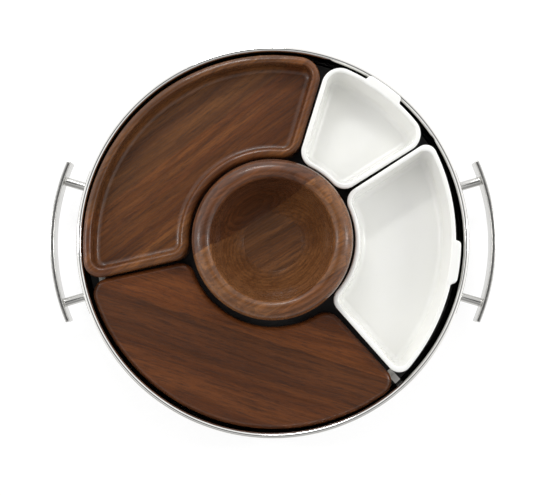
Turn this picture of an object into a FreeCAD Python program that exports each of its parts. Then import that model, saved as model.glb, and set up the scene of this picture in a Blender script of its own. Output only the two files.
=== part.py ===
import FreeCAD, Part
import math
import os
import re
import Sketcher
from FreeCAD import Placement, Rotation, Vector

# Chip and dip server: a round steel tray with two bar handles and a black floor panel,
# holding a carved wood tray, a wood board, two porcelain dishes and a turned wood bowl.
# Frame: Z up, origin on the table at the centre of the round tray, handles on the X axis.

# Driving dimensions, in millimetres and degrees.
SIZES = {
    # Round steel tray
    "band_inner_radius": 185.2,
    "band_sheet": 1.2,
    "band_bottom": 5.0,
    "flange_inner_radius": 166.0,
    "flange_bend": 2.0,
    "bead_radius": 2.85,
    "bead_centre_radius": 187.75,
    "bead_top": 46.0,
    # Floor panel
    "panel_radius": 184.6,
    "panel_thickness": 6.0,
    "panel_bevel": 0.6,
    "panel_screw_gap": 2.4,
    # Floor clips, a flat pad on the left and a stepped strip on the right
    "clip_width": 6.6,
    "clip_sheet": 0.9,
    "clip_inner_radius": 170.4,
    "clip_riser_radius": 176.6,
    "clip_outer_radius": 184.8,
    "clip_step": 1.5,
    "clip_tab_rise": 0.6,
    "clip_first_angle": 192.0,
    "clip_spacing": 120.0,
    # Handles
    "bar_outer_reach": 217.0,
    "bar_thickness": 4.2,
    "bar_height": 21.0,
    "bar_bottom": 19.5,
    "bar_arc_radius": 200.0,
    "bar_half_angle": 23.4,
    "bar_edge": 1.1,
    "post_radius": 4.3,
    "post_angle": 16.3,
    "post_height": 30.0,
    "spigot_radius": 2.6,
    # Feet
    "foot_circle_radius": 174.5,
    "foot_radius": 8.0,
    "foot_height": 5.0,
    "foot_first_angle": 45.0,
    "foot_edge": 1.0,
    "screw_shank_radius": 1.6,
    "screw_head_radius": 3.2,
    "screw_head_depth": 2.4,
    "screw_recess": 1.4,
    "screw_length": 6.6,
    # Carved wood tray
    "tray_height": 36.8,
    "tray_outer_x": 1.0,
    "tray_outer_y": -3.2,
    "tray_outer_radius": 184.8,
    "tray_inner_x": -0.7,
    "tray_inner_y": 1.0,
    "tray_inner_radius": 80.1,
    "tray_start_angle": 73.2,
    "tray_start_gap": 0.8,
    "tray_end_angle": 192.79,
    "tray_end_gap": 2.31,
    "tray_corner_outer_start": 20.6,
    "tray_corner_outer_end": 15.7,
    "tray_corner_inner_end": 16.7,
    "tray_corner_inner_start": 21.9,
    "tray_rim": 8.6,
    "tray_well_depth": 22.0,
    "tray_well_corner": 10.0,
    "tray_cove": 6.6,
    "tray_outer_rounding": 4.6,
    "tray_lip_rounding": 3.0,
    "tray_bottom_rounding": 8.0,
    "tray_grain_angle": 37.5,
    "tray_seam_inner": 71.0,
    "tray_seam_outer": 128.0,
    # Wood board
    "board_height": 23.8,
    "board_outer_x": 2.0,
    "board_outer_y": 4.2,
    "board_outer_radius": 186.6,
    "board_inner_x": 0.4,
    "board_inner_y": -0.6,
    "board_inner_radius": 82.6,
    "board_start_angle": 191.79,
    "board_start_gap": 1.85,
    "board_end_angle": 312.46,
    "board_end_gap": 2.8,
    "board_corner_outer_start": 15.8,
    "board_corner_outer_end": 14.9,
    "board_corner_inner_end": 17.8,
    "board_corner_inner_start": 14.0,
    "board_top_rounding": 4.6,
    "board_bottom_rounding": 8.0,
    "board_grain_angle": -18.0,
    "board_seam_inner": -93.0,
    "board_seam_outer": -128.7,
    # Large dish
    "large_height": 42.8,
    "large_outer_x": -18.0,
    "large_outer_y": 3.3,
    "large_outer_radius": 194.3,
    "large_inner_x": 5.1,
    "large_inner_y": 0.5,
    "large_inner_radius": 74.4,
    "large_start_angle": 311.55,
    "large_start_gap": 2.61,
    "large_end_angle": 392.8,
    "large_end_gap": 0.56,
    "large_corner_outer_start": 12.6,
    "large_corner_outer_end": 11.0,
    "large_corner_inner_end": 15.2,
    "large_corner_inner_start": 13.6,
    "large_well_corner": 10.0,
    "large_lug_middle": 353.4,
    "large_lug_half": 5.3,
    "large_lug_radius": 181.0,
    "large_lug_root": 174.9,
    "large_lug_front_slope": 3.2,
    "large_lug_rear_slope": 2.4,
    # Small dish
    "small_height": 42.8,
    "small_outer_x": -1.0,
    "small_outer_y": 2.0,
    "small_outer_radius": 179.6,
    "small_inner_x": 1.35,
    "small_inner_y": 1.8,
    "small_inner_radius": 77.2,
    "small_start_angle": 32.02,
    "small_start_gap": 2.99,
    "small_end_angle": 72.9,
    "small_end_gap": 0.5,
    "small_corner_outer_start": 18.1,
    "small_corner_outer_end": 18.4,
    "small_corner_inner_end": 16.9,
    "small_corner_inner_start": 15.3,
    "small_well_corner": 13.4,
    "small_lug_middle": 53.6,
    "small_lug_half": 4.9,
    "small_lug_radius": 186.0,
    "small_lug_root": 179.5,
    "small_lug_front_slope": 2.4,
    "small_lug_rear_slope": 2.4,
    # Both dishes
    "dish_wall": 4.6,
    "dish_draft": 6.0,
    "dish_floor": 4.6,
    "dish_cove": 6.0,
    "dish_bottom_rounding": 5.5,
    "dish_rim_rounding": 1.9,
    "lug_thickness": 4.6,
    # Turned bowl
    "bowl_height": 69.8,
    "bowl_foot_radius": 42.0,
    "bowl_foot_recess_radius": 32.0,
    "bowl_foot_recess": 1.6,
    "bowl_belly_radius": 76.3,
    "bowl_belly_height": 46.0,
    "bowl_side_curve": 48.0,
    "bowl_shoulder_height": 57.8,
    "bowl_shoulder_curve": 12.0,
    "bowl_lip_curve": 7.0,
    "bowl_mouth_radius": 57.3,
    "bowl_well_curve": 62.1,
    "bowl_well_radius": 28.4,
    "bowl_well_height": 10.3,
    "bowl_grain_angle": 32.5,
    "bowl_seam_front": -57.6,
    "bowl_seam_rear": 27.0,
    # The blocks that cut a glued blank into its planks reach this far, past every wooden piece
    "blank_reach": 210.0,
}

FLOOR_TOP = "(band_bottom + band_sheet + panel_thickness)"
FOOT_COUNT = 4
CORNERS = ("outer_start", "outer_end", "inner_end", "inner_start")
ORIGIN = -1
START, END, CENTRE = 1, 2, 3

doc = FreeCAD.newDocument("chip_and_dip_server")
sheet = doc.addObject("Spreadsheet::Sheet", "sizes")
for row, (alias, number) in enumerate(SIZES.items(), start=1):
    sheet.set(f"A{row}", alias)
    sheet.set(f"B{row}", str(number))
    sheet.setAlias(f"B{row}", alias)
doc.recompute()

exported = []


def formula(text):
    """The text with each size's name pointed at its cell in the sheet."""
    return re.sub(r"[a-z_]+", lambda word: f"sizes.{word[0]}" if word[0] in SIZES else word[0], str(text))


def value(text):
    """What a formula comes to now, as a plain number."""
    result = sheet.evalExpression(formula(text))
    return float(getattr(result, "Value", result))


def bind(target, prop, text):
    target.setExpression(prop, formula(text))


# Bodies, sketches and features


def new_body(label, height="0"):
    """A body whose own zero level stands at the given height."""
    body = doc.addObject("PartDesign::Body", label)
    body.Label = label
    bind(body, ".Placement.Base.z", height)
    return body


def new_sketch(body, name, plane="XY_Plane", level="0"):
    sketch = body.newObject("Sketcher::SketchObject", name)
    for feature in body.Origin.OriginFeatures:
        if feature.Role == plane:
            sketch.AttachmentSupport = [(feature, "")]
    sketch.MapMode = "FlatFace"
    bind(sketch, ".AttachmentOffset.Base.z", level)
    return sketch


def constrain(sketch, text, kind, *where):
    """A dimension held to a formula, set first to the value that it has."""
    number = value(text)
    if kind == "Angle":
        number = math.radians(number)
    index = sketch.addConstraint(Sketcher.Constraint(kind, *where, number))
    bind(sketch, f"Constraints[{index}]", text)


def fix_point(sketch, edge, end, x, y):
    """Holds a sketch point at formula coordinates, on an axis where one of them is zero."""
    for kind, text, axis in (("DistanceX", x, -2), ("DistanceY", y, -1)):
        if str(text) == "0":
            sketch.addConstraint(Sketcher.Constraint("PointOnObject", edge, end, axis))
        else:
            constrain(sketch, text, kind, ORIGIN, START, edge, end)


def arc_between(start, end, radius):
    """The arc of the given radius from start to end, to the left of the chord when positive."""
    chord = end - start
    middle = (start + end) * 0.5
    height = math.sqrt(radius * radius - chord.Length * chord.Length / 4)
    side = Vector(-chord.y, chord.x, 0).normalize() * math.copysign(1, radius)
    centre = middle + side * height
    first = math.atan2(start.y - centre.y, start.x - centre.x)
    last = math.atan2(end.y - centre.y, end.x - centre.x)
    if radius < 0:
        first, last = last, first
    circle = Part.Circle(centre, Vector(0, 0, 1), abs(radius))
    return Part.ArcOfCircle(circle, first, last)


def draw_profile(sketch, path):
    """A closed outline: each step is (x, y) or (x, y, radius of the arc to the next point).

    A positive radius turns left and a negative one turns right.
    """
    points = [Vector(value(step[0]), value(step[1]), 0) for step in path]
    ends = []
    for index, step in enumerate(path):
        start, end = points[index], points[(index + 1) % len(path)]
        if len(step) == 2:
            edge = sketch.addGeometry(Part.LineSegment(start, end))
            ends.append((edge, START, END))
        else:
            radius = value(step[2])
            edge = sketch.addGeometry(arc_between(start, end, radius))
            ends.append((edge, START, END) if radius > 0 else (edge, END, START))
    for index, step in enumerate(path):
        edge, first, last = ends[index]
        next_edge, next_first, _ = ends[(index + 1) % len(path)]
        sketch.addConstraint(Sketcher.Constraint("Coincident", edge, last, next_edge, next_first))
        fix_point(sketch, edge, first, step[0], step[1])
        if len(step) == 3:
            constrain(sketch, f"abs({step[2]})", "Radius", edge)
    return sketch


def draw_circle(sketch, x, y, radius):
    centre = Vector(value(x), value(y), 0)
    edge = sketch.addGeometry(Part.Circle(centre, Vector(0, 0, 1), value(radius)))
    fix_point(sketch, edge, CENTRE, x, y)
    constrain(sketch, radius, "Radius", edge)
    return sketch


def pad(body, name, sketch, length):
    feature = body.newObject("PartDesign::Pad", name)
    feature.Profile = sketch
    bind(feature, "Length", length)
    doc.recompute()
    return feature


def pocket(body, name, sketch, depth, upwards=False):
    """Cuts the sketch's outline down from its level, or up from it, by the given depth."""
    before = body.Tip.Shape.Volume
    feature = body.newObject("PartDesign::Pocket", name)
    feature.Profile = sketch
    feature.Reversed = upwards
    bind(feature, "Length", depth)
    doc.recompute()
    if feature.Shape.Volume >= before:
        raise RuntimeError(f"{name} cuts nothing")
    return feature


def revolve(body, name, sketch):
    """Turns the sketch a full round about its own vertical axis."""
    feature = body.newObject("PartDesign::Revolution", name)
    feature.Profile = sketch
    feature.ReferenceAxis = (sketch, ["V_Axis"])
    feature.Angle = 360
    doc.recompute()
    return feature


def draft(body, name, faces, neutral, angle, hollow):
    """Slopes the named walls so that a block, or its hollow, narrows below the neutral face."""
    newest = body.Tip
    feature = body.newObject("PartDesign::Draft", name)
    feature.Base = (newest, faces)
    feature.NeutralPlane = (newest, [neutral])
    feature.Reversed = not hollow
    bind(feature, "Angle", angle)
    doc.recompute()
    if not feature.isValid():
        raise RuntimeError(f"{body.Label}: {name} failed")
    return feature


def fillet(body, name, edges, radius):
    """Rounds the named edges of the body's newest feature."""
    newest = body.Tip
    feature = body.newObject("PartDesign::Fillet", name)
    feature.Base = (newest, edges)
    bind(feature, "Radius", radius)
    doc.recompute()
    if not feature.isValid():
        raise RuntimeError(f"{body.Label}: {name} failed")
    return feature


def edges_where(shape, test):
    return [f"Edge{number}" for number, edge in enumerate(shape.Edges, start=1) if test(edge)]


def loop_edges(shape, height, outline="outer"):
    """The edges round the outside, or round the hole, of the largest level face at a height."""
    faces = [
        face
        for face in shape.Faces
        if abs(face.CenterOfMass.z - height) < 0.01 and abs(face.normalAt(0, 0).z) > 0.999
    ]
    face = max(faces, key=lambda candidate: candidate.Area)
    outer = face.OuterWire
    if outline == "outer":
        wires = [outer]
    else:
        wires = [wire for wire in face.Wires if not wire.isSame(outer)]
    wanted = [edge for wire in wires for edge in wire.Edges]
    return edges_where(shape, lambda edge: any(edge.isSame(other) for other in wanted))


def midpoint(edge):
    return edge.valueAt((edge.FirstParameter + edge.LastParameter) / 2)


def keep(piece, label):
    """Marks an object as a finished sub-part under its own name."""
    piece.Label = label
    exported.append(piece)
    return piece


# Round steel tray


def build_wall_band():
    """Rolled sheet with an in-turned flange below and a beaded rim above."""
    body = new_body("wall_band", "band_bottom")
    outer = "band_inner_radius + band_sheet"
    top = "bead_top - bead_radius - band_bottom"
    section = new_sketch(body, "band_section", "XZ_Plane")
    draw_profile(
        section,
        [
            ("flange_inner_radius", "0"),
            (outer, "0"),
            (outer, top),
            ("band_inner_radius", top),
            ("band_inner_radius", "band_sheet"),
            ("flange_inner_radius", "band_sheet"),
        ],
    )
    revolve(body, "band_turn", section)
    lower_outside = edges_where(
        body.Tip.Shape,
        lambda edge: edge.BoundBox.ZMax < 0.01 and edge.BoundBox.XMax > value(outer) - 0.01,
    )
    fillet(body, "flange_bend", lower_outside, "flange_bend")
    bead_section = new_sketch(body, "bead_section", "XZ_Plane")
    draw_circle(bead_section, "bead_centre_radius", top, "bead_radius")
    revolve(body, "bead", bead_section)
    holes = draw_screw_circle(new_sketch(body, "flange_screw_holes"), "screw_shank_radius")
    pocket(body, "flange_drilling", holes, "band_sheet", upwards=True)
    for side in (-1, 1):
        for end in (-1, 1):
            drill_band(body, side, end)
    return keep(body, "wall_band")


def post_name(side, end):
    return ("right" if side > 0 else "left") + ("_rear" if end > 0 else "_front")


def post_direction(side, end):
    angle = math.radians(value("post_angle"))
    return Vector(side * math.cos(angle), end * math.sin(angle), 0)


def drill_band(body, side, end):
    """The hole for one handle post, cut square through the wall."""
    before = body.Tip.Shape.Volume
    hole = body.newObject("PartDesign::SubtractiveCylinder", f"{post_name(side, end)}_hole")
    for feature in body.Origin.OriginFeatures:
        if feature.Role == "XY_Plane":
            hole.AttachmentSupport = [(feature, "")]
    hole.MapMode = "FlatFace"
    bind(hole, "Radius", "spigot_radius")
    bind(hole, "Height", "band_sheet + 2 * bead_radius")
    direction = post_direction(side, end)
    start = direction * value("band_inner_radius - bead_radius")
    start.z = value("post_height - band_bottom")
    hole.AttachmentOffset = Placement(start, Rotation(Vector(0, 0, 1), direction))
    doc.recompute()
    if hole.Shape.Volume >= before:
        raise RuntimeError(f"{hole.Label} cuts nothing")


def draw_screw_circle(sketch, radius):
    """One circle for each foot screw."""
    for number in range(FOOT_COUNT):
        draw_circle(sketch, *foot_centre(number), radius)
    return sketch


def foot_centre(number):
    """Where a foot stands, as formulas for x and y."""
    angle = f"(foot_first_angle + {360 // FOOT_COUNT * number})"
    return f"foot_circle_radius * cos({angle})", f"foot_circle_radius * sin({angle})"


def stand_on_foot_circle(piece, number):
    for axis, place in zip("xy", foot_centre(number)):
        bind(piece, f".Placement.Base.{axis}", place)


def build_floor_panel():
    """Black disc that lies on the band's flange, with a blind hole for each foot screw."""
    body = new_body("floor_panel", "band_bottom + band_sheet")
    outline = draw_circle(new_sketch(body, "panel_outline"), "0", "0", "panel_radius")
    pad(body, "panel", outline, "panel_thickness")
    fillet(body, "panel_bevel", loop_edges(body.Tip.Shape, value("panel_thickness")), "panel_bevel")
    holes = draw_screw_circle(new_sketch(body, "panel_screw_holes"), "screw_shank_radius")
    pocket(body, "panel_drilling", holes, "screw_length - panel_screw_gap", upwards=True)
    return keep(body, "floor_panel")


def build_floor_clip(number, has_tab):
    """A flat pad on the floor panel, between two inserts, with or without a stepped tab to the wall."""
    label = f"floor_clip_{number}"
    body = new_body(label, FLOOR_TOP)
    section = new_sketch(body, f"clip_section_{number}", "XZ_Plane", "-clip_width / 2")
    pad_end = [("clip_riser_radius", "0")]
    stepped_end = [
        ("clip_riser_radius + clip_sheet", "0"),
        ("clip_riser_radius + 1.5 * clip_sheet", "clip_step"),
        ("clip_outer_radius", "clip_step + clip_tab_rise"),
        ("clip_outer_radius", "clip_step + clip_tab_rise + clip_sheet"),
        ("clip_riser_radius + clip_sheet / 2", "clip_step + clip_sheet"),
    ]
    outer_end = stepped_end if has_tab else pad_end
    draw_profile(
        section,
        [
            ("clip_inner_radius", "0"),
            *outer_end,
            ("clip_riser_radius", "clip_sheet"),
            ("clip_inner_radius", "clip_sheet"),
        ],
    )
    pad(body, f"clip_strip_{number}", section, "clip_width")
    bind(body, ".Placement.Rotation.Angle", f"clip_first_angle + clip_spacing * {number - 1}")
    return keep(body, label)


# Handles


def build_handle_bar(side):
    """Flat bar on edge, bent to an arc, with softened edges."""
    label = "right_handle_bar" if side > 0 else "left_handle_bar"
    body = new_body(label, "bar_bottom")
    inner = "(bar_arc_radius - bar_thickness)"
    middle = "bar_outer_reach - bar_arc_radius"
    outer_end = f"{middle} + bar_arc_radius * cos(bar_half_angle)"
    inner_end = f"{middle} + {inner} * cos(bar_half_angle)"
    outline = draw_profile(
        new_sketch(body, f"{label}_outline"),
        [
            (outer_end, "-bar_arc_radius * sin(bar_half_angle)", "bar_arc_radius"),
            (outer_end, "bar_arc_radius * sin(bar_half_angle)"),
            (inner_end, f"{inner} * sin(bar_half_angle)", f"-{inner}"),
            (inner_end, f"-{inner} * sin(bar_half_angle)"),
        ],
    )
    pad(body, f"{label}_strip", outline, "bar_height")
    fillet(body, f"{label}_edges", edges_where(body.Tip.Shape, lambda edge: True), "bar_edge")
    bind(body, ".Placement.Rotation.Angle", "0" if side > 0 else "180")
    return keep(body, label)


def radial_cylinder(name, side, end, radius, start, length):
    """A cylinder lying along a post's axis, from the given distance off the tray's centre."""
    cylinder = doc.addObject("Part::Cylinder", name)
    bind(cylinder, "Radius", radius)
    bind(cylinder, "Height", length)
    direction = post_direction(side, end)
    base = direction * value(start)
    base.z = value("post_height")
    cylinder.Placement = Placement(base, Rotation(Vector(0, 0, 1), direction))
    return cylinder


def build_handle_post(side, end, bar):
    """Round post: a thin spigot fills the hole in the wall, and the shaft ends against the bar."""
    label = f"{post_name(side, end)}_handle_post"
    wall_outside = "band_inner_radius + band_sheet"
    shaft = radial_cylinder(f"{label}_shaft", side, end, "post_radius", wall_outside,
                            f"bar_outer_reach - ({wall_outside})")
    spigot = radial_cylinder(f"{label}_spigot", side, end, "spigot_radius", "band_inner_radius",
                             "band_sheet + post_radius")
    blank = doc.addObject("Part::Fuse", f"{label}_blank")
    blank.Base = shaft
    blank.Tool = spigot
    beyond = radial_cylinder(f"{label}_beyond", side, end, "2 * post_radius",
                             "bar_outer_reach - bar_thickness", "bar_outer_reach")
    stop = doc.addObject("Part::Fuse", f"{label}_stop")
    stop.Base = bar
    stop.Tool = beyond
    post = doc.addObject("Part::Cut", label)
    post.Base = blank
    post.Tool = stop
    return keep(post, label)


# Feet


def build_foot(number):
    """Rubber foot with a counterbore for its screw."""
    label = f"rubber_foot_{number + 1}"
    body = new_body(label)
    seat = "screw_recess + screw_head_depth"
    section = new_sketch(body, f"foot_section_{number + 1}", "XZ_Plane")
    draw_profile(
        section,
        [
            ("screw_head_radius", "0"),
            ("foot_radius", "0"),
            ("foot_radius", "foot_height"),
            ("screw_shank_radius", "foot_height"),
            ("screw_shank_radius", seat),
            ("screw_head_radius", seat),
        ],
    )
    revolve(body, f"foot_turn_{number + 1}", section)
    rim = edges_where(body.Tip.Shape, lambda edge: edge.BoundBox.ZMax < 0.01 and edge.BoundBox.XLength > 10)
    fillet(body, f"foot_rim_{number + 1}", rim, "foot_edge")
    stand_on_foot_circle(body, number)
    return keep(body, label)


def build_foot_screws():
    """The four foot screws, each a head and a shank."""
    screws = []
    for number in range(FOOT_COUNT):
        head = doc.addObject("Part::Cylinder", f"screw_head_{number + 1}")
        bind(head, "Radius", "screw_head_radius")
        bind(head, "Height", "screw_head_depth")
        bind(head, ".Placement.Base.z", "screw_recess")
        shank = doc.addObject("Part::Cylinder", f"screw_shank_{number + 1}")
        bind(shank, "Radius", "screw_shank_radius")
        bind(shank, "Height", "screw_length")
        bind(shank, ".Placement.Base.z", "screw_recess + screw_head_depth")
        screw = doc.addObject("Part::Fuse", f"screw_{number + 1}")
        screw.Base = head
        screw.Tool = shank
        stand_on_foot_circle(screw, number)
        screws.append(screw)
    group = doc.addObject("Part::Compound", "foot_screws")
    group.Links = screws
    return keep(group, "foot_screws")


# Inserts: every one is a sector of a ring with rounded corners


def side_point(insert, side, inset, centre, radius):
    """Where a sector's straight side meets an arc, as a point for the sketch to start from."""
    angle = math.radians(value(f"{insert}_{side}_angle"))
    turn = 1 if side == "start" else -1
    along = Vector(math.cos(angle), math.sin(angle), 0)
    inward = Vector(-math.sin(angle), math.cos(angle), 0) * turn
    foot = inward * value(f"{insert}_{side}_gap + {inset}")
    offset = foot - centre
    reach = offset.dot(along)
    return foot + along * (math.sqrt(reach * reach - offset.dot(offset) + radius * radius) - reach)


def draw_sector(sketch, insert, inset="0"):
    """The outline of an insert, moved inwards by the inset all the way round."""
    outer_radius = f"{insert}_outer_radius - ({inset})"
    inner_radius = f"{insert}_inner_radius + {inset}"
    arcs = []
    corners = {}
    for ring, radius in (("outer", outer_radius), ("inner", inner_radius)):
        centre = Vector(value(f"{insert}_{ring}_x"), value(f"{insert}_{ring}_y"), 0)
        start = side_point(insert, "start", inset, centre, value(radius))
        end = side_point(insert, "end", inset, centre, value(radius))
        corners[ring] = (start, end)
        circle = Part.Circle(centre, Vector(0, 0, 1), value(radius))
        arc = Part.ArcOfCircle(circle, *(math.atan2(*(point - centre)[1::-1]) for point in (start, end)))
        arcs.append(sketch.addGeometry(arc))
    outer_arc, inner_arc = arcs
    for end, which in ((START, 0), (END, 1)):
        side = "start" if end == START else "end"
        line = sketch.addGeometry(Part.LineSegment(corners["inner"][which], corners["outer"][which]))
        sketch.addConstraint(Sketcher.Constraint("Coincident", line, START, inner_arc, end))
        sketch.addConstraint(Sketcher.Constraint("Coincident", line, END, outer_arc, end))
        constrain(sketch, f"{insert}_{side}_angle", "Angle", line)
        constrain(sketch, f"{insert}_{side}_gap + {inset}", "Distance", ORIGIN, START, line)
    for arc, ring, radius in ((outer_arc, "outer", outer_radius), (inner_arc, "inner", inner_radius)):
        fix_point(sketch, arc, CENTRE, f"{insert}_{ring}_x", f"{insert}_{ring}_y")
        constrain(sketch, radius, "Radius", arc)
    return sketch


def corner_edges(shape, insert, corner, lowest=-1.0):
    """The upright edge at one corner of a sector."""
    ring, side = corner.split("_")
    angle = math.radians(value(f"{insert}_{side}_angle"))
    radius = value(f"{insert}_{ring}_radius")
    target = Vector(radius * math.cos(angle), radius * math.sin(angle), 0)

    def distance(edge):
        point = midpoint(edge)
        return math.hypot(point.x - target.x, point.y - target.y)

    upright = [
        edge
        for edge in shape.Edges
        if edge.BoundBox.ZLength > 0.9 * edge.Length
        and edge.BoundBox.ZMin > lowest
    ]
    nearest = min(upright, key=distance)
    return edges_where(shape, lambda edge: edge.isSame(nearest))


def round_corners(body, insert):
    for corner in CORNERS:
        edges = corner_edges(body.Tip.Shape, insert, corner)
        fillet(body, f"{insert}_{corner}_corner", edges, f"{insert}_corner_{corner}")


def round_well_corners(body, insert, floor, radius):
    """Rounds the four upright corners of an insert's hollow."""
    for corner in CORNERS:
        edges = corner_edges(body.Tip.Shape, insert, corner, value(floor) - 0.1)
        fillet(body, f"{insert}_well_{corner}_corner", edges, radius)


def split_into_planks(body, grain_angle, planks):
    """Cuts a glued-up piece along its glue seams, which run with the grain.

    Each plank is (label, seam on one side, seam on the other), as distances across the grain,
    and may add where it begins and ends along the grain.
    """
    for label, near, far, *ends in planks:
        begin, end = ends or ("-blank_reach", "blank_reach")
        block = doc.addObject("Part::Box", f"{label}_block")
        bind(block, "Length", f"({end}) - ({begin})")
        bind(block, "Width", f"({far}) - ({near})")
        bind(block, "Height", "blank_reach")
        turn = Rotation(Vector(0, 0, 1), value(grain_angle))
        corner = Vector(value(begin), value(near), 0)
        block.Placement = Placement(turn.multVec(corner), turn)
        plank = doc.addObject("Part::Common", label)
        plank.Base = body
        plank.Tool = block
        keep(plank, label)


def build_wood_tray():
    """Carved sector tray with a rounded rim and a coved floor, glued up from three planks."""
    body = new_body("tray_blank", FLOOR_TOP)
    pad(body, "tray_slab", draw_sector(new_sketch(body, "tray_outline"), "tray"), "tray_height")
    round_corners(body, "tray")
    well = draw_sector(new_sketch(body, "tray_well_outline", level="tray_height"), "tray", "tray_rim")
    pocket(body, "tray_well", well, "tray_well_depth")
    floor = "tray_height - tray_well_depth"
    round_well_corners(body, "tray", floor, "tray_well_corner")
    fillet(body, "tray_cove_round", loop_edges(body.Tip.Shape, value(floor)), "tray_cove")
    top = value("tray_height")
    fillet(body, "tray_outside_round", loop_edges(body.Tip.Shape, top), "tray_outer_rounding")
    fillet(body, "tray_lip_round", loop_edges(body.Tip.Shape, top, "inner"), "tray_lip_rounding")
    fillet(body, "tray_bottom_round", loop_edges(body.Tip.Shape, 0), "tray_bottom_rounding")
    split_into_planks(
        body,
        "tray_grain_angle",
        [
            ("tray_plank_inner_left", "0", "tray_seam_inner", "-blank_reach", "0"),
            ("tray_plank_inner_right", "0", "tray_seam_inner", "0", "blank_reach"),
            ("tray_plank_middle", "tray_seam_inner", "tray_seam_outer"),
            ("tray_plank_outer", "tray_seam_outer", "blank_reach"),
        ],
    )


def build_board():
    """Flat sector board with rounded edges, glued up from three planks."""
    body = new_body("board_blank", FLOOR_TOP)
    pad(body, "board_slab", draw_sector(new_sketch(body, "board_outline"), "board"), "board_height")
    round_corners(body, "board")
    fillet(body, "board_top_round", loop_edges(body.Tip.Shape, value("board_height")), "board_top_rounding")
    fillet(body, "board_bottom_round", loop_edges(body.Tip.Shape, 0), "board_bottom_rounding")
    split_into_planks(
        body,
        "board_grain_angle",
        [
            ("board_plank_rear", "board_seam_inner", "blank_reach"),
            ("board_plank_middle", "board_seam_outer", "board_seam_inner"),
            ("board_plank_front", "-blank_reach", "board_seam_outer"),
        ],
    )


def wall_faces(shape, lowest=-1.0):
    """The upright faces of a shape that start above the lowest level."""
    return [
        f"Face{number}"
        for number, face in enumerate(shape.Faces, start=1)
        if abs(face.normalAt(*middle_of(face)).z) < 0.001 and face.BoundBox.ZMin > lowest
    ]


def middle_of(face):
    first_u, last_u, first_v, last_v = face.ParameterRange
    return (first_u + last_u) / 2, (first_v + last_v) / 2


def level_face(shape, height):
    """The name of the largest level face at a height."""
    areas = {
        f"Face{number}": face.Area
        for number, face in enumerate(shape.Faces, start=1)
        if face.BoundBox.ZLength < 0.001 and abs(face.BoundBox.ZMax - height) < 0.01
    }
    return max(areas, key=areas.get)


def build_dish(insert):
    """Glazed porcelain dish: drafted walls, a coved floor and a finger lug on the outer rim."""
    label = f"{insert}_dish"
    body = new_body(label, FLOOR_TOP)
    height = f"{insert}_height"
    top = value(height)
    pad(body, f"{label}_block", draw_sector(new_sketch(body, f"{label}_outline"), insert), height)
    well = draw_sector(new_sketch(body, f"{label}_well_outline", level=height), insert, "dish_wall")
    pocket(body, f"{label}_well", well, f"{height} - dish_floor")
    round_well_corners(body, insert, "dish_floor", f"{insert}_well_corner")
    round_corners(body, insert)
    for side, lowest in (("inside", value("dish_floor") - 0.1), ("outside", -1)):
        shape = body.Tip.Shape
        walls = wall_faces(shape, lowest)
        draft(body, f"{label}_{side}_draft", walls, level_face(shape, top), "dish_draft", side == "inside")
    pad(body, f"{label}_lug", draw_lug(body, insert), "lug_thickness")
    fillet(body, f"{label}_cove", loop_edges(body.Tip.Shape, value("dish_floor")), "dish_cove")
    fillet(body, f"{label}_bottom_round", loop_edges(body.Tip.Shape, 0), "dish_bottom_rounding")
    fillet(body, f"{label}_rim_outside", loop_edges(body.Tip.Shape, top), "dish_rim_rounding")
    fillet(body, f"{label}_rim_inside", loop_edges(body.Tip.Shape, top, "inner"), "dish_rim_rounding")
    return keep(body, label)


def draw_lug(body, insert):
    """The lug's outline: a short arc whose two ends sweep back into the dish's wall."""
    sketch = new_sketch(body, f"{insert}_lug_outline", level=f"{insert}_height - lug_thickness")
    tip, root = f"{insert}_lug_radius", f"{insert}_lug_root"
    middle, half = f"{insert}_lug_middle", f"{insert}_lug_half"
    front, rear = f"{insert}_lug_front_slope", f"{insert}_lug_rear_slope"

    def polar(radius, angle):
        return f"{radius} * cos({angle})", f"{radius} * sin({angle})"

    def sweep(slope):
        """The radius of two equal arcs that leave the wall and reach the tip without a corner."""
        run, rise = f"({tip} * {slope} * pi / 180)", f"({tip} - {root})"
        return f"({run} * {run} + {rise} * {rise}) / (4 * {rise})"

    halfway = f"(({tip} + {root}) / 2)"
    near, far = f"{middle} - {half}", f"{middle} + {half}"
    return draw_profile(
        sketch,
        [
            (*polar(root, f"{near} - {front}"), f"-({sweep(front)})"),
            (*polar(halfway, f"{near} - {front} / 2"), sweep(front)),
            (*polar(tip, near), tip),
            (*polar(tip, far), sweep(rear)),
            (*polar(halfway, f"{far} + {rear} / 2"), f"-({sweep(rear)})"),
            polar(root, f"{far} + {rear}"),
        ],
    )


def build_bowl():
    """Turned dip bowl with a thick rolled lip, glued up from three planks, the middle one in halves."""
    body = new_body("bowl_blank", FLOOR_TOP)
    section = new_sketch(body, "bowl_section", "XZ_Plane")
    draw_profile(
        section,
        [
            ("0", "bowl_foot_recess"),
            ("bowl_foot_recess_radius", "bowl_foot_recess"),
            ("bowl_foot_recess_radius", "0"),
            ("bowl_foot_radius", "0", "bowl_side_curve"),
            ("bowl_belly_radius", "bowl_belly_height"),
            ("bowl_belly_radius", "bowl_shoulder_height", "bowl_shoulder_curve"),
            ("bowl_belly_radius - bowl_shoulder_curve", "bowl_height", "bowl_lip_curve"),
            ("bowl_mouth_radius", "bowl_height - bowl_lip_curve", "-bowl_well_curve"),
            ("bowl_well_radius", "bowl_well_height"),
            ("0", "bowl_well_height"),
        ],
    )
    revolve(body, "bowl_turn", section)
    split_into_planks(
        body,
        "bowl_grain_angle",
        [
            ("bowl_plank_front", "-blank_reach", "bowl_seam_front"),
            ("bowl_plank_middle_left", "bowl_seam_front", "bowl_seam_rear", "-blank_reach", "0"),
            ("bowl_plank_middle_right", "bowl_seam_front", "bowl_seam_rear", "0", "blank_reach"),
            ("bowl_plank_rear", "bowl_seam_rear", "blank_reach"),
        ],
    )


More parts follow.
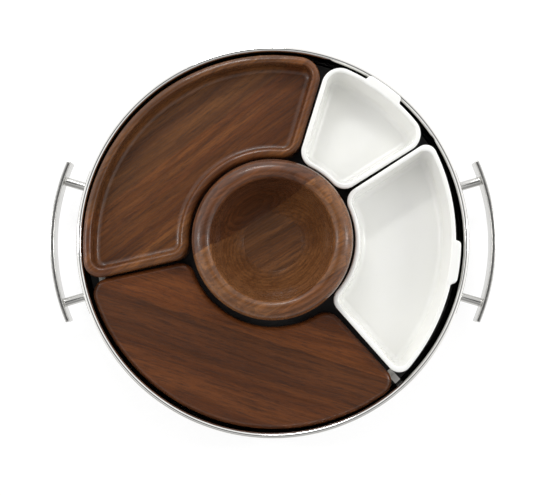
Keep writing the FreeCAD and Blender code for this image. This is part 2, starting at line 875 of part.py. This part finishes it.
def check_document():
    for item in doc.Objects:
        if "Invalid" in item.State or "Error" in item.State:
            raise RuntimeError(f"{item.Label} failed: {item.State}")
    for piece in exported:
        if piece.Shape.isNull() or not piece.Shape.isValid():
            raise RuntimeError(f"{piece.Label} has no valid shape")


def export_pieces():
    os.makedirs("parts", exist_ok=True)
    for piece in exported:
        piece.Shape.exportStep(f"parts/{piece.Label}.step")


build_wall_band()
build_floor_panel()
for clip_number, clip_has_tab in ((1, False), (2, True)):
    build_floor_clip(clip_number, clip_has_tab)
for handle_side in (-1, 1):
    handle_bar = build_handle_bar(handle_side)
    for handle_end in (-1, 1):
        build_handle_post(handle_side, handle_end, handle_bar)
for foot_number in range(FOOT_COUNT):
    build_foot(foot_number)
build_foot_screws()
build_wood_tray()
build_board()
build_dish("large")
build_dish("small")
build_bowl()
doc.recompute()
check_document()
export_pieces()
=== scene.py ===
"""Chip and dip server: smooth steel pieces, materials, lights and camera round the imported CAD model."""
import math

import bmesh
import bpy
from mathutils import Matrix, Vector


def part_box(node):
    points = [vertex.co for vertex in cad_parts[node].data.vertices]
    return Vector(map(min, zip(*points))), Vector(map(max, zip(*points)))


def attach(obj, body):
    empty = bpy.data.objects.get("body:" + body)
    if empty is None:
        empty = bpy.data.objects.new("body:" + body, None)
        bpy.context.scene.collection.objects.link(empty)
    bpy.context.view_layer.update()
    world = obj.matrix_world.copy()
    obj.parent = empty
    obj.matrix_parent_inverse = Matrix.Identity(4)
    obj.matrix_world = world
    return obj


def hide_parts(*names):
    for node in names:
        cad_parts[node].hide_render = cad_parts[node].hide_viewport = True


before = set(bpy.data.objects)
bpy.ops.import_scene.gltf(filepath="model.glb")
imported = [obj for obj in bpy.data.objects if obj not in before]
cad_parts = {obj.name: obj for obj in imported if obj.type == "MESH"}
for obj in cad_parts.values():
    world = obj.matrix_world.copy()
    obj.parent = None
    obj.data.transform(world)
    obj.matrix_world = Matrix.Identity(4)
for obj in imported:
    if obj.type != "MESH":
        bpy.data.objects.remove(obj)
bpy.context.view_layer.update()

MM = 0.001


# Node graphs


class Graph:
    """Short calls for building a node tree."""

    def __init__(self, owner):
        owner.use_nodes = True
        self.tree = owner.node_tree
        self.tree.nodes.clear()

    def node(self, kind, inputs=None, **settings):
        """A new node, with its settings and whatever feeds its inputs."""
        node = self.tree.nodes.new(kind)
        for name, setting in settings.items():
            setattr(node, name, setting)
        for name, source in (inputs or {}).items():
            self.feed(node.inputs[name], source)
        return node

    def feed(self, socket, source):
        if isinstance(source, bpy.types.NodeSocket):
            self.tree.links.new(source, socket)
        else:
            socket.default_value = source

    def math(self, operation, first, second=0.0):
        return self.node("ShaderNodeMath", {0: first, 1: second}, operation=operation).outputs[0]

    def vector(self, operation, first, second):
        return self.node("ShaderNodeVectorMath", {0: first, 1: second}, operation=operation).outputs[0]

    def noise(self, where, scale=1.0, detail=2.0, roughness=0.5):
        inputs = {"Vector": where, "Scale": scale, "Detail": detail, "Roughness": roughness}
        return self.node("ShaderNodeTexNoise", inputs).outputs["Fac"]

    def ramp(self, factor, low, high, bottom=0.0, top=1.0):
        """A smooth step from bottom to top while the factor goes from low to high."""
        inputs = {"Value": factor, "From Min": low, "From Max": high, "To Min": bottom, "To Max": top}
        return self.node("ShaderNodeMapRange", inputs, interpolation_type="SMOOTHSTEP").outputs[0]

    def mix(self, factor, first, second):
        """One colour turning into another; a colour mix has its sockets at 6, 7 and 2."""
        node = self.node("ShaderNodeMix", data_type="RGBA", blend_type="MIX", clamp_factor=True)
        self.feed(node.inputs[0], factor)
        self.feed(node.inputs[6], first)
        self.feed(node.inputs[7], second)
        return node.outputs[2]

    def bump(self, height, distance, strength=1.0):
        inputs = {"Height": height, "Distance": distance, "Strength": strength}
        return self.node("ShaderNodeBump", inputs).outputs[0]

    def surface(self, **inputs):
        """A principled surface, with each input named in lower case and underscores."""
        names = {
            name.replace("_", " ").title().replace("Ior", "IOR"): source for name, source in inputs.items()
        }
        shader = self.node("ShaderNodeBsdfPrincipled", names)
        self.node("ShaderNodeOutputMaterial", {"Surface": shader.outputs[0]})


def new_material(name):
    material = bpy.data.materials.new(name)
    return material, Graph(material)


def rgb(red, green, blue):
    """A linear colour from the usual 0 to 255 display values."""
    def linear(channel):
        share = channel / 255
        return share / 12.92 if share <= 0.04045 else ((share + 0.055) / 1.055) ** 2.4
    return linear(red), linear(green), linear(blue), 1.0


def shaded(colour, share):
    """A darker colour, with this share of each channel."""
    return tuple(channel * share for channel in colour[:3]) + (1,)


# Materials


# How often each layer of the wood's figure repeats in a metre: along the grain, across it and up
SWAY = (9, 16, 16)
RAGGED = (14, 120, 120)
BANDS = (3, 90, 90)
STREAKS = (13, 300, 300)
FIBRES = (45, 760, 760)
PORES = (90, 1500, 1500)

# How far the grain drifts sideways, how ragged the rings are, and the strength of each darker layer
SWAY_WIDTH = 9 * MM
RAGGED_SHARE = 0.9
DARK_SHARE = 0.3
FIBRE_STRENGTH = 0.55
PORE_STRENGTH = 0.5
PORE_DEPTH = 0.04 * MM


def walnut(name, grain_angle, pale, mid, pith, ring_pitch, rings, seed):
    """Oiled walnut: growth rings round a pith line, tone bands, short dark fibres and pores.

    The pith and the ring pitch are in millimetres, the pith off the origin, across the grain
    and up. The first coordinate of the wood runs along the grain.
    """
    material, g = new_material(name)
    place = g.node("ShaderNodeTexCoord").outputs["Object"]
    turned = g.node("ShaderNodeMapping", {"Vector": place, "Rotation": (0, 0, -math.radians(grain_angle))},
                    vector_type="POINT").outputs[0]
    wood = g.vector("ADD", turned, (seed, -pith[0] * MM, -pith[1] * MM))
    sway = g.noise(g.vector("MULTIPLY", wood, SWAY), detail=2)
    drift = g.node("ShaderNodeCombineXYZ", {1: g.math("MULTIPLY", sway, SWAY_WIDTH)}).outputs[0]
    wood = g.vector("ADD", wood, drift)

    parts = g.node("ShaderNodeSeparateXYZ", {0: wood})
    across = g.math("MULTIPLY", parts.outputs[1], parts.outputs[1])
    upward = g.math("MULTIPLY", parts.outputs[2], parts.outputs[2])
    turns = g.math("DIVIDE", g.math("SQRT", g.math("ADD", across, upward)), ring_pitch * MM)
    ragged = g.noise(g.vector("MULTIPLY", wood, RAGGED), detail=3)
    phase = g.math("ADD", turns, g.math("MULTIPLY", ragged, RAGGED_SHARE))
    ring = g.ramp(g.math("FRACT", phase), 0.1, 1.0)

    band = g.noise(g.vector("MULTIPLY", wood, BANDS), detail=4, roughness=0.6)
    streak = g.noise(g.vector("MULTIPLY", wood, STREAKS), detail=3, roughness=0.6)
    fibre = g.noise(g.vector("MULTIPLY", wood, FIBRES), detail=3, roughness=0.7)
    pore = g.noise(g.vector("MULTIPLY", wood, PORES), detail=2)
    fibres = g.ramp(fibre, 0.5, 0.62)
    pores = g.ramp(pore, 0.56, 0.66)

    dark = shaded(mid, DARK_SHARE)
    colour = g.mix(g.ramp(band, 0.36, 0.64), mid, pale)
    colour = g.mix(g.math("MULTIPLY", ring, rings), colour, dark)
    colour = g.mix(g.ramp(streak, 0.46, 0.66, 0.0, 0.42), colour, dark)
    colour = g.mix(g.math("MULTIPLY", fibres, FIBRE_STRENGTH), colour, dark)
    colour = g.mix(g.math("MULTIPLY", pores, PORE_STRENGTH), colour, dark)
    relief = g.math("SUBTRACT", g.math("MULTIPLY", fibre, 0.3), pores)
    g.surface(base_color=colour, roughness=g.ramp(fibre, 0.3, 0.7, 0.22, 0.32), specular_ior_level=0.4,
              coat_weight=0.1, coat_roughness=0.16, normal=g.bump(relief, PORE_DEPTH, 0.5))
    return material


def steel(name, colour, roughness, brushed=(1, 1, 1)):
    """Stainless steel with fine brushing, which repeats so often in a metre along x, y and z."""
    material, g = new_material(name)
    place = g.node("ShaderNodeTexCoord").outputs["Object"]
    lines = g.noise(g.vector("MULTIPLY", place, brushed), detail=3)
    cloud = g.noise(place, scale=30, detail=2)
    tone = g.mix(g.ramp(cloud, 0.3, 0.7), colour, shaded(colour, 0.93))
    worn = g.ramp(lines, 0.3, 0.7, roughness * 0.8, roughness * 1.2)
    g.surface(base_color=tone, metallic=1.0, roughness=worn, normal=g.bump(lines, 0.02 * MM, 0.4))
    return material


def floor_black(name):
    """Black satin floor with a very fine texture and a little dust."""
    material, g = new_material(name)
    place = g.node("ShaderNodeTexCoord").outputs["Object"]
    grain = g.noise(place, scale=1800, detail=2)
    cloud = g.noise(place, scale=25, detail=4)
    colour = g.mix(g.ramp(cloud, 0.35, 0.7), rgb(20, 18, 18), rgb(27, 25, 25))
    g.surface(base_color=colour, roughness=g.ramp(grain, 0.3, 0.7, 0.45, 0.6),
              normal=g.bump(grain, 0.03 * MM, 0.4))
    return material


def porcelain(name):
    """White glazed porcelain: a clear even glaze over a slightly warm body."""
    material, g = new_material(name)
    place = g.node("ShaderNodeTexCoord").outputs["Object"]
    cloud = g.noise(place, scale=18, detail=3)
    speck = g.noise(place, scale=900, detail=1)
    colour = g.mix(g.ramp(cloud, 0.3, 0.7), rgb(249, 249, 246), rgb(247, 247, 243))
    colour = g.mix(g.ramp(speck, 0.74, 0.8, 0.0, 0.25), colour, rgb(196, 190, 180))
    wave = g.noise(place, scale=45, detail=2)
    g.surface(base_color=colour, roughness=g.ramp(cloud, 0.3, 0.7, 0.16, 0.22), ior=1.5,
              subsurface_weight=0.1, subsurface_radius=(1, 1, 0.9), subsurface_scale=1.5 * MM,
              normal=g.bump(wave, 0.05 * MM, 0.4))
    return material


def rubber(name):
    """Dark rubber with a fine matt grain."""
    material, g = new_material(name)
    place = g.node("ShaderNodeTexCoord").outputs["Object"]
    grain = g.noise(place, scale=2200, detail=3)
    colour = g.mix(g.ramp(grain, 0.3, 0.7), rgb(30, 30, 30), rgb(44, 43, 42))
    g.surface(base_color=colour, roughness=g.ramp(grain, 0.3, 0.7, 0.7, 0.9),
              normal=g.bump(grain, 0.06 * MM, 0.6))
    return material


def paint(material, *nodes):
    """Gives CAD nodes a material."""
    for node in nodes:
        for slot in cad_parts[node].material_slots:
            slot.material = material


# Steel pieces, made as smooth skins over rings of points

SHARP_ANGLE = 35


def skin(name, rings, material, closed, *nodes):
    """A surface through equal rings of points that stands for CAD nodes of the steel tray.

    A closed one joins its last ring to its first, and an open one gets an end face at each end.
    """
    size = len(rings[0])
    spans = len(rings) if closed else len(rings) - 1
    faces = []
    for ring in range(spans):
        this, following = ring * size, (ring + 1) % len(rings) * size
        for point in range(size):
            beside = (point + 1) % size
            faces.append((this + point, this + beside, following + beside, following + point))
    if not closed:
        faces.append(tuple(range(size)))
        faces.append(tuple(range(spans * size, (spans + 1) * size)))
    mesh = bpy.data.meshes.new(name)
    mesh.from_pydata([point for ring in rings for point in ring], [], faces)
    work = bmesh.new()
    work.from_mesh(mesh)
    bmesh.ops.recalc_face_normals(work, faces=work.faces)
    work.to_mesh(mesh)
    work.free()
    mesh.polygons.foreach_set("use_smooth", [True] * len(mesh.polygons))
    mesh.set_sharp_from_angle(angle=math.radians(SHARP_ANGLE))
    mesh.materials.append(material)
    piece = bpy.data.objects.new(name, mesh)
    bpy.context.scene.collection.objects.link(piece)
    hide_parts(*nodes)
    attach(piece, "serving_tray")


def arc(centre, radius, first, last, steps):
    """Points along an arc between two angles in degrees."""
    angles = [math.radians(first + (last - first) * step / steps) for step in range(steps + 1)]
    return [(centre[0] + radius * math.cos(a), centre[1] + radius * math.sin(a)) for a in angles]


SHEET = 1.2 * MM
BEAD = 2.85 * MM
FLANGE = 19.2 * MM
FLANGE_BEND = 2.0 * MM
WALL_INSET = 4.2 * MM


def build_wall_band(material):
    """The rolled wall with its flange below and its bead above, turned about the tray's axis."""
    low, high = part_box("wall_band")
    bead_centre = (high[0] - BEAD, high[2] - BEAD)
    outside = high[0] - WALL_INSET
    inside = outside - SHEET
    inner_meeting = math.degrees(math.acos((inside - bead_centre[0]) / BEAD))
    outer_meeting = math.degrees(math.acos((outside - bead_centre[0]) / BEAD))
    section = arc(bead_centre, BEAD, 360 - inner_meeting, -outer_meeting, 48)
    section += arc((outside - FLANGE_BEND, low[2] + FLANGE_BEND), FLANGE_BEND, 0, -90, 10)
    section += [(inside - FLANGE, low[2]), (inside - FLANGE, low[2] + SHEET)]
    section += arc((inside - SHEET, low[2] + 2 * SHEET), SHEET, -90, 0, 6)
    turn = [math.radians(angle) for angle in range(360)]
    rings = [[(r * math.cos(a), r * math.sin(a), z) for r, z in section] for a in turn]
    skin("steel_wall", rings, material, True, "wall_band")


BAR_RADIUS = 200 * MM
BAR_THICKNESS = 4.2 * MM
BAR_EDGE = 1.1 * MM
BAR_STEPS = 90


def build_handle_bar(side, material):
    """A flat bar on edge, bent to an arc, with every edge rounded over."""
    node = "right_handle_bar" if side > 0 else "left_handle_bar"
    low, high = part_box(node)
    reach = max(abs(low[0]), abs(high[0]))
    centre = reach - BAR_RADIUS
    half_angle = math.degrees(math.asin(high[1] / BAR_RADIUS))
    middle_height = (low[2] + high[2]) / 2
    half_height = (high[2] - low[2]) / 2 - BAR_EDGE
    half_width = BAR_THICKNESS / 2 - BAR_EDGE
    swing = math.degrees(BAR_EDGE / BAR_RADIUS)

    def ring(angle, edge):
        """The bar's section at one angle, a rectangle grown outwards by the edge's radius."""
        corners = ((half_width, half_height), (-half_width, half_height),
                   (-half_width, -half_height), (half_width, -half_height))
        section = []
        for quarter, corner in enumerate(corners):
            section += arc(corner, edge, 90 * quarter, 90 * quarter + 90, 6)
        a = math.radians(angle)
        points = []
        for outwards, up in section:
            radius = BAR_RADIUS - BAR_THICKNESS / 2 + outwards
            x = centre + radius * math.cos(a)
            points.append((side * x, radius * math.sin(a), middle_height + up))
        return points

    end_steps = [math.radians(angle) for angle in (8, 26, 44, 62, 80)]
    first_end = [ring(-half_angle + swing * (1 - math.cos(a)), BAR_EDGE * math.sin(a)) for a in end_steps]
    last_end = [ring(half_angle - swing * (1 - math.cos(a)), BAR_EDGE * math.sin(a)) for a in end_steps]
    clear = half_angle - swing
    run = [ring(-clear + 2 * clear * step / BAR_STEPS, BAR_EDGE) for step in range(BAR_STEPS + 1)]
    skin(node + "_smooth", first_end + run + last_end[::-1], material, False, node)


POST_RADIUS = 4.3 * MM
SPIGOT_RADIUS = 2.6 * MM
WELD = 0.8 * MM
POST_SIDES = 48


def build_handle_post(side, end, material):
    """A round post with a small weld where it leaves the wall and where it meets the bar."""
    side_name = "right" if side > 0 else "left"
    node = f"{side_name}_{'rear' if end > 0 else 'front'}_handle_post"
    low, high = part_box(node)
    middle = [(first + last) / 2 for first, last in zip(low, high)]
    along = Vector((middle[0], middle[1], 0)).normalized()
    beside = Vector((-along.y, along.x, 0))
    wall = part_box("wall_band")[1][0] - WALL_INSET
    bar_reach = max(abs(corner[0]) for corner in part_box(f"{side_name}_handle_bar"))
    bar_centre = bar_reach - BAR_RADIUS
    ahead = bar_centre * abs(along.x)
    bar_inside = ahead + math.sqrt((BAR_RADIUS - BAR_THICKNESS) ** 2 - bar_centre ** 2 + ahead ** 2)
    weld_steps = [math.radians(angle) for angle in (0, 22.5, 45, 67.5, 90)]
    profile = [(wall - SHEET, SPIGOT_RADIUS), (wall - SHEET / 2, SPIGOT_RADIUS)]
    profile += [(wall + WELD * (1 - math.cos(a)), POST_RADIUS + WELD * (1 - math.sin(a))) for a in weld_steps]
    profile += [(bar_inside - WELD * (1 - math.cos(a)), POST_RADIUS + WELD * (1 - math.sin(a)))
                for a in weld_steps[::-1]]
    profile.append((bar_inside + BAR_THICKNESS / 4, POST_RADIUS + WELD))
    rings = []
    for distance, radius in profile:
        centre = along * distance + Vector((0, 0, middle[2]))
        circle = arc((0, 0), radius, 0, 360 - 360 / POST_SIDES, POST_SIDES - 1)
        rings.append([tuple(centre + beside * across + Vector((0, 0, up))) for across, up in circle])
    skin(node + "_smooth", rings, material, False, node)


polished = steel("polished_steel", rgb(247, 246, 243), 0.07, (300, 300, 2500))
satin = steel("satin_steel", rgb(203, 202, 199), 0.2, (300, 300, 2500))
build_wall_band(polished)
for handle_side in (-1, 1):
    build_handle_bar(handle_side, satin)
    for handle_end in (-1, 1):
        build_handle_post(handle_side, handle_end, satin)


# Materials of the CAD nodes


paint(steel("clip_steel", rgb(243, 242, 238), 0.5, (500, 500, 500)), "floor_clip_1", "floor_clip_2")
paint(steel("screw_steel", rgb(200, 200, 198), 0.3, (900, 900, 900)), "foot_screws")
paint(floor_black("black_floor"), "floor_panel")
paint(rubber("foot_rubber"), *[f"rubber_foot_{number}" for number in (1, 2, 3, 4)])
paint(porcelain("white_porcelain"), "large_dish", "small_dish")

TRAY_GRAIN = 37.5
BOARD_GRAIN = -18
BOWL_GRAIN = 32.5
SEED_STEP = 0.4

# The nodes of each plank, its grain, pale and middle colours, pith, ring pitch and ring strength
PLANKS = (
    (("tray_plank_inner_left", "tray_plank_inner_right"),
     TRAY_GRAIN, (136, 86, 46), (114, 69, 37), (40, -95), 4.0, 0.3),
    (("tray_plank_middle",), TRAY_GRAIN, (126, 78, 42), (104, 60, 33), (95, -70), 4.0, 0.3),
    (("tray_plank_outer",), TRAY_GRAIN, (122, 79, 45), (100, 62, 36), (150, -85), 4.0, 0.25),
    (("board_plank_rear",), BOARD_GRAIN, (128, 74, 38), (108, 60, 31), (-70, -60), 4.2, 0.3),
    (("board_plank_middle",), BOARD_GRAIN, (104, 61, 34), (86, 49, 28), (-110, -80), 4.0, 0.3),
    (("board_plank_front",), BOARD_GRAIN, (108, 62, 33), (90, 50, 27), (-150, -55), 4.4, 0.3),
    (("bowl_plank_rear",), BOWL_GRAIN, (116, 71, 42), (96, 57, 34), (62, 18), 3.6, 0.5),
    (("bowl_plank_middle_left", "bowl_plank_middle_right"),
     BOWL_GRAIN, (146, 97, 58), (124, 79, 46), (-8, -45), 3.8, 0.4),
    (("bowl_plank_front",), BOWL_GRAIN, (130, 80, 43), (108, 65, 35), (-70, 22), 3.6, 0.5),
)
for number, (nodes, grain, pale, mid, pith, pitch, strength) in enumerate(PLANKS):
    wood = walnut(f"{nodes[0]}_walnut", grain, rgb(*pale), rgb(*mid), pith, pitch, strength,
                  SEED_STEP * number)
    paint(wood, *nodes)


# Studio

FLOOR_HALF = 4.0
FLOOR_GLOW = 0.76
TENT_STRENGTH = 0.95
VIEW_WIDTH = 26.36
CAMERA_PLACE = (0.004, -0.059, 1.145)
CAMERA_AIM = (-0.0058, -0.00685, 0.045)


def area_light(name, place, size, power):
    """A soft rectangular light aimed at the middle of the table."""
    data = bpy.data.lights.new(name, "AREA")
    data.shape = "RECTANGLE"
    data.size, data.size_y = size
    data.energy = power
    light = bpy.data.objects.new(name, data)
    light.location = place
    light.rotation_euler = (-Vector(place)).to_track_quat("-Z", "Y").to_euler()
    bpy.context.scene.collection.objects.link(light)


def build_floor():
    """A plain pale sheet that glows a little, like a light table."""
    half = FLOOR_HALF
    mesh = bpy.data.meshes.new("studio_floor")
    corners = [(-half, -half, 0), (half, -half, 0), (half, half, 0), (-half, half, 0)]
    mesh.from_pydata(corners, [], [(0, 1, 2, 3)])
    floor = bpy.data.objects.new("studio_floor", mesh)
    bpy.context.scene.collection.objects.link(floor)
    material, g = new_material("studio_floor")
    g.surface(base_color=(0.3, 0.3, 0.3, 1), roughness=0.9,
              emission_color=(1, 1, 1, 1), emission_strength=FLOOR_GLOW)
    mesh.materials.append(material)


def build_sky():
    """A soft tent of light: bright round the sides, dim in front, with a dark opening overhead."""
    world = bpy.data.worlds.new("studio_tent")
    bpy.context.scene.world = world
    g = Graph(world)
    direction = g.node("ShaderNodeTexCoord").outputs["Generated"]
    parts = g.node("ShaderNodeSeparateXYZ", {0: direction})
    horizon = g.ramp(parts.outputs[2], 0.0, 0.45, 1.5, 1.0)
    overhead = g.ramp(parts.outputs[2], 0.92, 0.975, 1.0, 0.12)
    front = g.ramp(parts.outputs[1], -0.7, -0.25, 0.45, 1.0)
    tent = g.math("MULTIPLY", g.math("MULTIPLY", overhead, front), horizon)
    glow = g.math("MULTIPLY", tent, TENT_STRENGTH)
    background = g.node("ShaderNodeBackground", {"Color": (1, 1, 1, 1), "Strength": glow})
    g.node("ShaderNodeOutputWorld", {"Surface": background.outputs[0]})


def build_camera():
    """The camera high over the tray, a little forward of its middle, with the rear at the picture's top."""
    data = bpy.data.cameras.new("camera")
    data.sensor_fit = "HORIZONTAL"
    data.angle = math.radians(VIEW_WIDTH)
    camera = bpy.data.objects.new("camera", data)
    camera.location = CAMERA_PLACE
    back = (camera.location - Vector(CAMERA_AIM)).normalized()
    right = Vector((0, 1, 0)).cross(back).normalized()
    turn = Matrix((right, back.cross(right), back)).transposed()
    camera.rotation_euler = turn.to_euler()
    bpy.context.scene.collection.objects.link(camera)
    bpy.context.scene.camera = camera


build_floor()
build_sky()
build_camera()
area_light("rear_softbox", (-0.2, 1.1, 0.95), (0.5, 0.16), 4.6)
area_light("right_softbox", (1.2, 0.1, 0.8), (0.16, 0.5), 3.2)
area_light("left_softbox", (-1.2, 0.1, 0.9), (0.16, 0.5), 2.6)
bpy.context.scene.view_settings.view_transform = "Standard"
